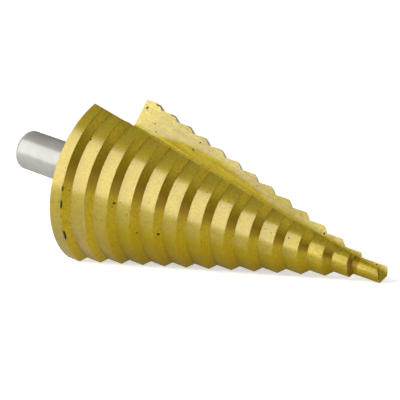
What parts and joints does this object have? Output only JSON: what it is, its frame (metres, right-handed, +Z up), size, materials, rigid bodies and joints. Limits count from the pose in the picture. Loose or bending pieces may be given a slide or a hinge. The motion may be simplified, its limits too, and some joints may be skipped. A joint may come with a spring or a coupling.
{
  "type": "step drill",
  "caption": "Cone-shaped step drill with two straight V flutes, relieved chamfers, gold-coated lands, a split point and a plain round shank.",
  "frame": {"origin": "bottom centre of the drill as it lies at rest, on the ground", "axes": "+X towards the point, +Z up; the drill's axis dips 13.1 degrees towards the point in the XZ plane"},
  "size_m": [0.0982, 0.042, 0.0366],
  "materials": {
    "coated_steel": "gold nitride coat over ground high-speed steel, worn to bare steel on the shank"
  },
  "bodies": {
    "root": {"step_drill": "coated_steel"}
  },
  "joints": []
}
